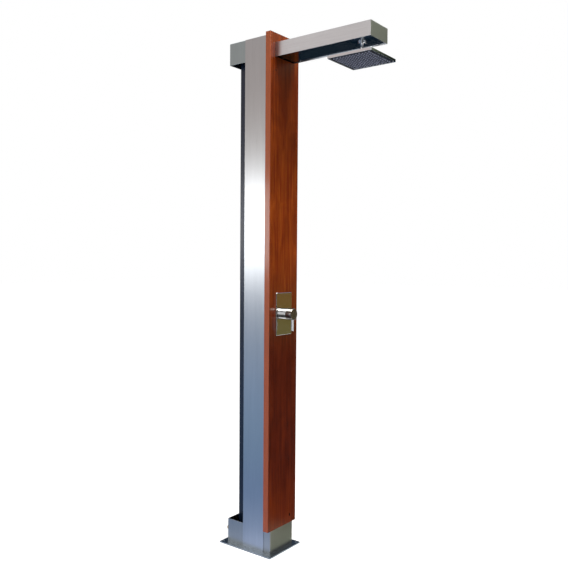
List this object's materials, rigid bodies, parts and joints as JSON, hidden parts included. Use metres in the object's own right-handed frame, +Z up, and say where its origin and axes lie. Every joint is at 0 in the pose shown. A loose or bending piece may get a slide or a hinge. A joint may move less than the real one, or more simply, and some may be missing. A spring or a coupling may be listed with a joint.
{
  "type": "outdoor shower post",
  "caption": "Outdoor shower post: flanged base, clad steel column with a wood board, boxed arm carrying a square rain head, concealed single-lever mixer.",
  "frame": {"origin": "centre of the base plate's underside, on the ground", "axes": "+Z up the post, +X out of the wood board along the arm towards the bather, +Y to the right-hand (cold) side of a bather who faces the post"},
  "size_m": [0.755, 0.22, 2.25],
  "materials": {
    "brushed_sheet": "brushed stainless steel sheet, grain along the post",
    "column_paint": "dark blue-grey powder coat on the steel structure",
    "cover_steel": "polished stainless steel",
    "board_wood": "oiled red-brown hardwood, straight grain along the board",
    "fastener_steel": "stainless steel fasteners",
    "cast_brass": "cast and machined brass",
    "polished_chrome": "polished chrome plating on brass",
    "head_steel": "polished stainless steel",
    "nozzle_silicone": "soft grey silicone",
    "seal_rubber": "black rubber seals",
    "cartridge_plastic": "engineering plastic",
    "disc_ceramic": "lapped alumina ceramic",
    "valve_steel": "turned stainless steel",
    "pipe_steel": "drawn stainless steel tube",
    "hose_braid": "rubber hose under a stainless braid",
    "clip_plastic": "moulded plastic"
  },
  "bodies": {
    "post": {"base_plate": "brushed_sheet", "base_collar": "brushed_sheet", "side_panel_left": "brushed_sheet", "side_panel_right": "brushed_sheet", "top_box": "brushed_sheet", "arm_channel": "brushed_sheet", "arm_end_cap": "brushed_sheet", "column_tube": "column_paint", "column_cap": "column_paint", "board_bracket_1": "column_paint", "board_bracket_2": "column_paint", "board_bracket_3": "column_paint", "board_bracket_4": "column_paint", "arm_bracket": "column_paint", "arm_cover": "cover_steel", "wood_board": "board_wood", "bracket_bolts": "fastener_steel", "board_screws": "fastener_steel", "top_box_screws": "fastener_steel", "arm_bolts": "fastener_steel", "arm_side_screws": "fastener_steel", "arm_cover_screws": "fastener_steel", "mixer_screws": "fastener_steel", "mixer_body": "cast_brass", "inlet_hot": "cast_brass", "inlet_cold": "cast_brass", "inlet_backnuts": "cast_brass", "hose_nuts": "cast_brass", "riser_nuts": "cast_brass", "drop_elbow": "cast_brass", "drop_backnut": "cast_brass", "mixer_plate": "polished_chrome", "mixer_sleeve": "polished_chrome", "cartridge_nut": "polished_chrome", "drop_pipe": "polished_chrome", "drop_locknut": "polished_chrome", "ball_stem": "polished_chrome", "plate_gasket": "seal_rubber", "sleeve_o_ring": "seal_rubber", "cartridge_housing": "cartridge_plastic", "fixed_disc": "disc_ceramic", "riser_pipe": "pipe_steel", "hose_hot": "hose_braid", "hose_cold": "hose_braid", "riser_clips": "clip_plastic"},
    "temperature_carrier": {"cartridge_carrier": "cartridge_plastic", "pivot_pin": "valve_steel"},
    "moving_disc": {"moving_disc": "disc_ceramic"},
    "handle": {"spindle": "valve_steel", "handle_knob": "polished_chrome", "lever_pin": "polished_chrome"},
    "swivel_ring": {"swivel_washer": "cartridge_plastic"},
    "swivel_seat": {"ball_seat": "cartridge_plastic"},
    "shower_head": {"swivel_nut": "polished_chrome", "head_shell": "head_steel", "head_seal": "seal_rubber", "nozzle_mat": "nozzle_silicone", "head_face": "head_steel", "face_screws": "fastener_steel"}
  },
  "joints": [
    {"name": "handle_turn", "type": "hinge", "parent": "post", "child": "temperature_carrier", "pos_m": [0.136, 0, 1.05], "axis": [1, 0, 0], "range_deg": [-45, 45]},
    {"name": "handle_lift", "type": "hinge", "parent": "temperature_carrier", "child": "handle", "pos_m": [0.136, 0, 1.05], "axis": [0, -1, 0], "range_deg": [0, 18]},
    {"name": "disc_slide", "type": "slide", "parent": "temperature_carrier", "child": "moving_disc", "axis": [0, 0, 1], "range_m": [-0.0045, 0]},
    {"name": "head_spin", "type": "hinge", "parent": "post", "child": "swivel_ring", "pos_m": [0.51, 0, 2.108], "axis": [0, 0, 1], "range_deg": [-180, 180]},
    {"name": "head_tilt_side", "type": "hinge", "parent": "swivel_ring", "child": "swivel_seat", "pos_m": [0.51, 0, 2.108], "axis": [1, 0, 0], "range_deg": [-15, 15]},
    {"name": "head_tilt_front", "type": "hinge", "parent": "swivel_seat", "child": "shower_head", "pos_m": [0.51, 0, 2.108], "axis": [0, 1, 0], "range_deg": [-15, 15]}
  ],
  "couplings": [
    {"joint": "disc_slide", "follows": "handle_lift", "m_per_rad": -0.014}
  ]
}
